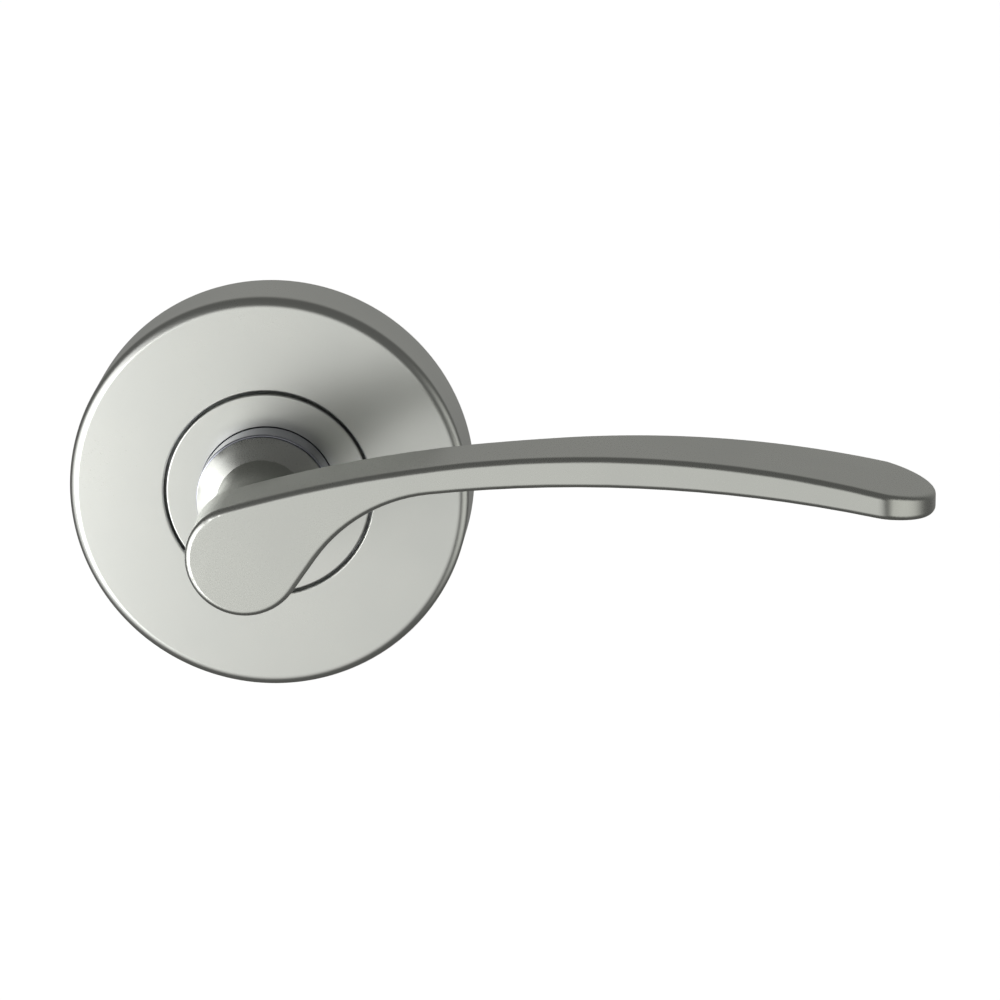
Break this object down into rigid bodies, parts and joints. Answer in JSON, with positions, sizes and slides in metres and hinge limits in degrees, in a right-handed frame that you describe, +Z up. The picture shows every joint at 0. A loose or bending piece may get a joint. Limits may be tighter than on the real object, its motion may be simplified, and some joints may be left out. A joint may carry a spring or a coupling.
{
  "type": "door lever handle",
  "caption": "Round sprung-rose door lever handle: curved flat arm on a slim neck, flush centre disc, square spindle and two through-door posts.",
  "frame": {"origin": "where the spindle's axis meets the door face", "axes": "+Z up; +X along the lever's arm; -Y out of the door towards the user; +Y into the door along the spindle and the posts"},
  "size_m": [0.14, 0.114, 0.065],
  "materials": {
    "satin_cover": "satin chrome plate",
    "satin_disc": "satin chrome plate",
    "satin_lever": "satin chrome plate over a zinc casting",
    "polished_sleeve": "bright chrome plate",
    "nylon": "moulded natural nylon",
    "zinc_casting": "as-cast zinc alloy",
    "zinc_plated_steel": "bright zinc plate",
    "screw_steel": "zinc plate",
    "washer_steel": "hardened steel",
    "spring_steel": "oiled spring wire",
    "spindle_steel": "drawn steel, zinc plated",
    "black_steel": "black oxide"
  },
  "bodies": {
    "rose": {"rose_cover": "satin_cover", "centre_disc": "satin_disc", "bearing_sleeve": "polished_sleeve", "bearing_bush": "nylon", "nose_washer": "nylon", "thrust_washer": "washer_steel", "cover_snap_ring": "spring_steel", "sub_rose": "zinc_casting", "fixing_posts": "zinc_plated_steel", "back_plate": "zinc_plated_steel", "back_plate_screws": "screw_steel", "return_spring": "spring_steel"},
    "lever": {"lever": "satin_lever", "spindle": "spindle_steel", "grub_screw": "black_steel", "spring_cam": "washer_steel", "retaining_washer": "washer_steel", "circlip": "black_steel"}
  },
  "joints": [
    {"name": "lever_turn", "type": "hinge", "parent": "rose", "child": "lever", "pos_m": [0, 0, 0], "axis": [0, 1, 0], "range_deg": [-45, 45], "stiffness_Nm_per_rad": 1.5, "springref_deg": -1.72, "deforming": ["return_spring"]}
  ]
}
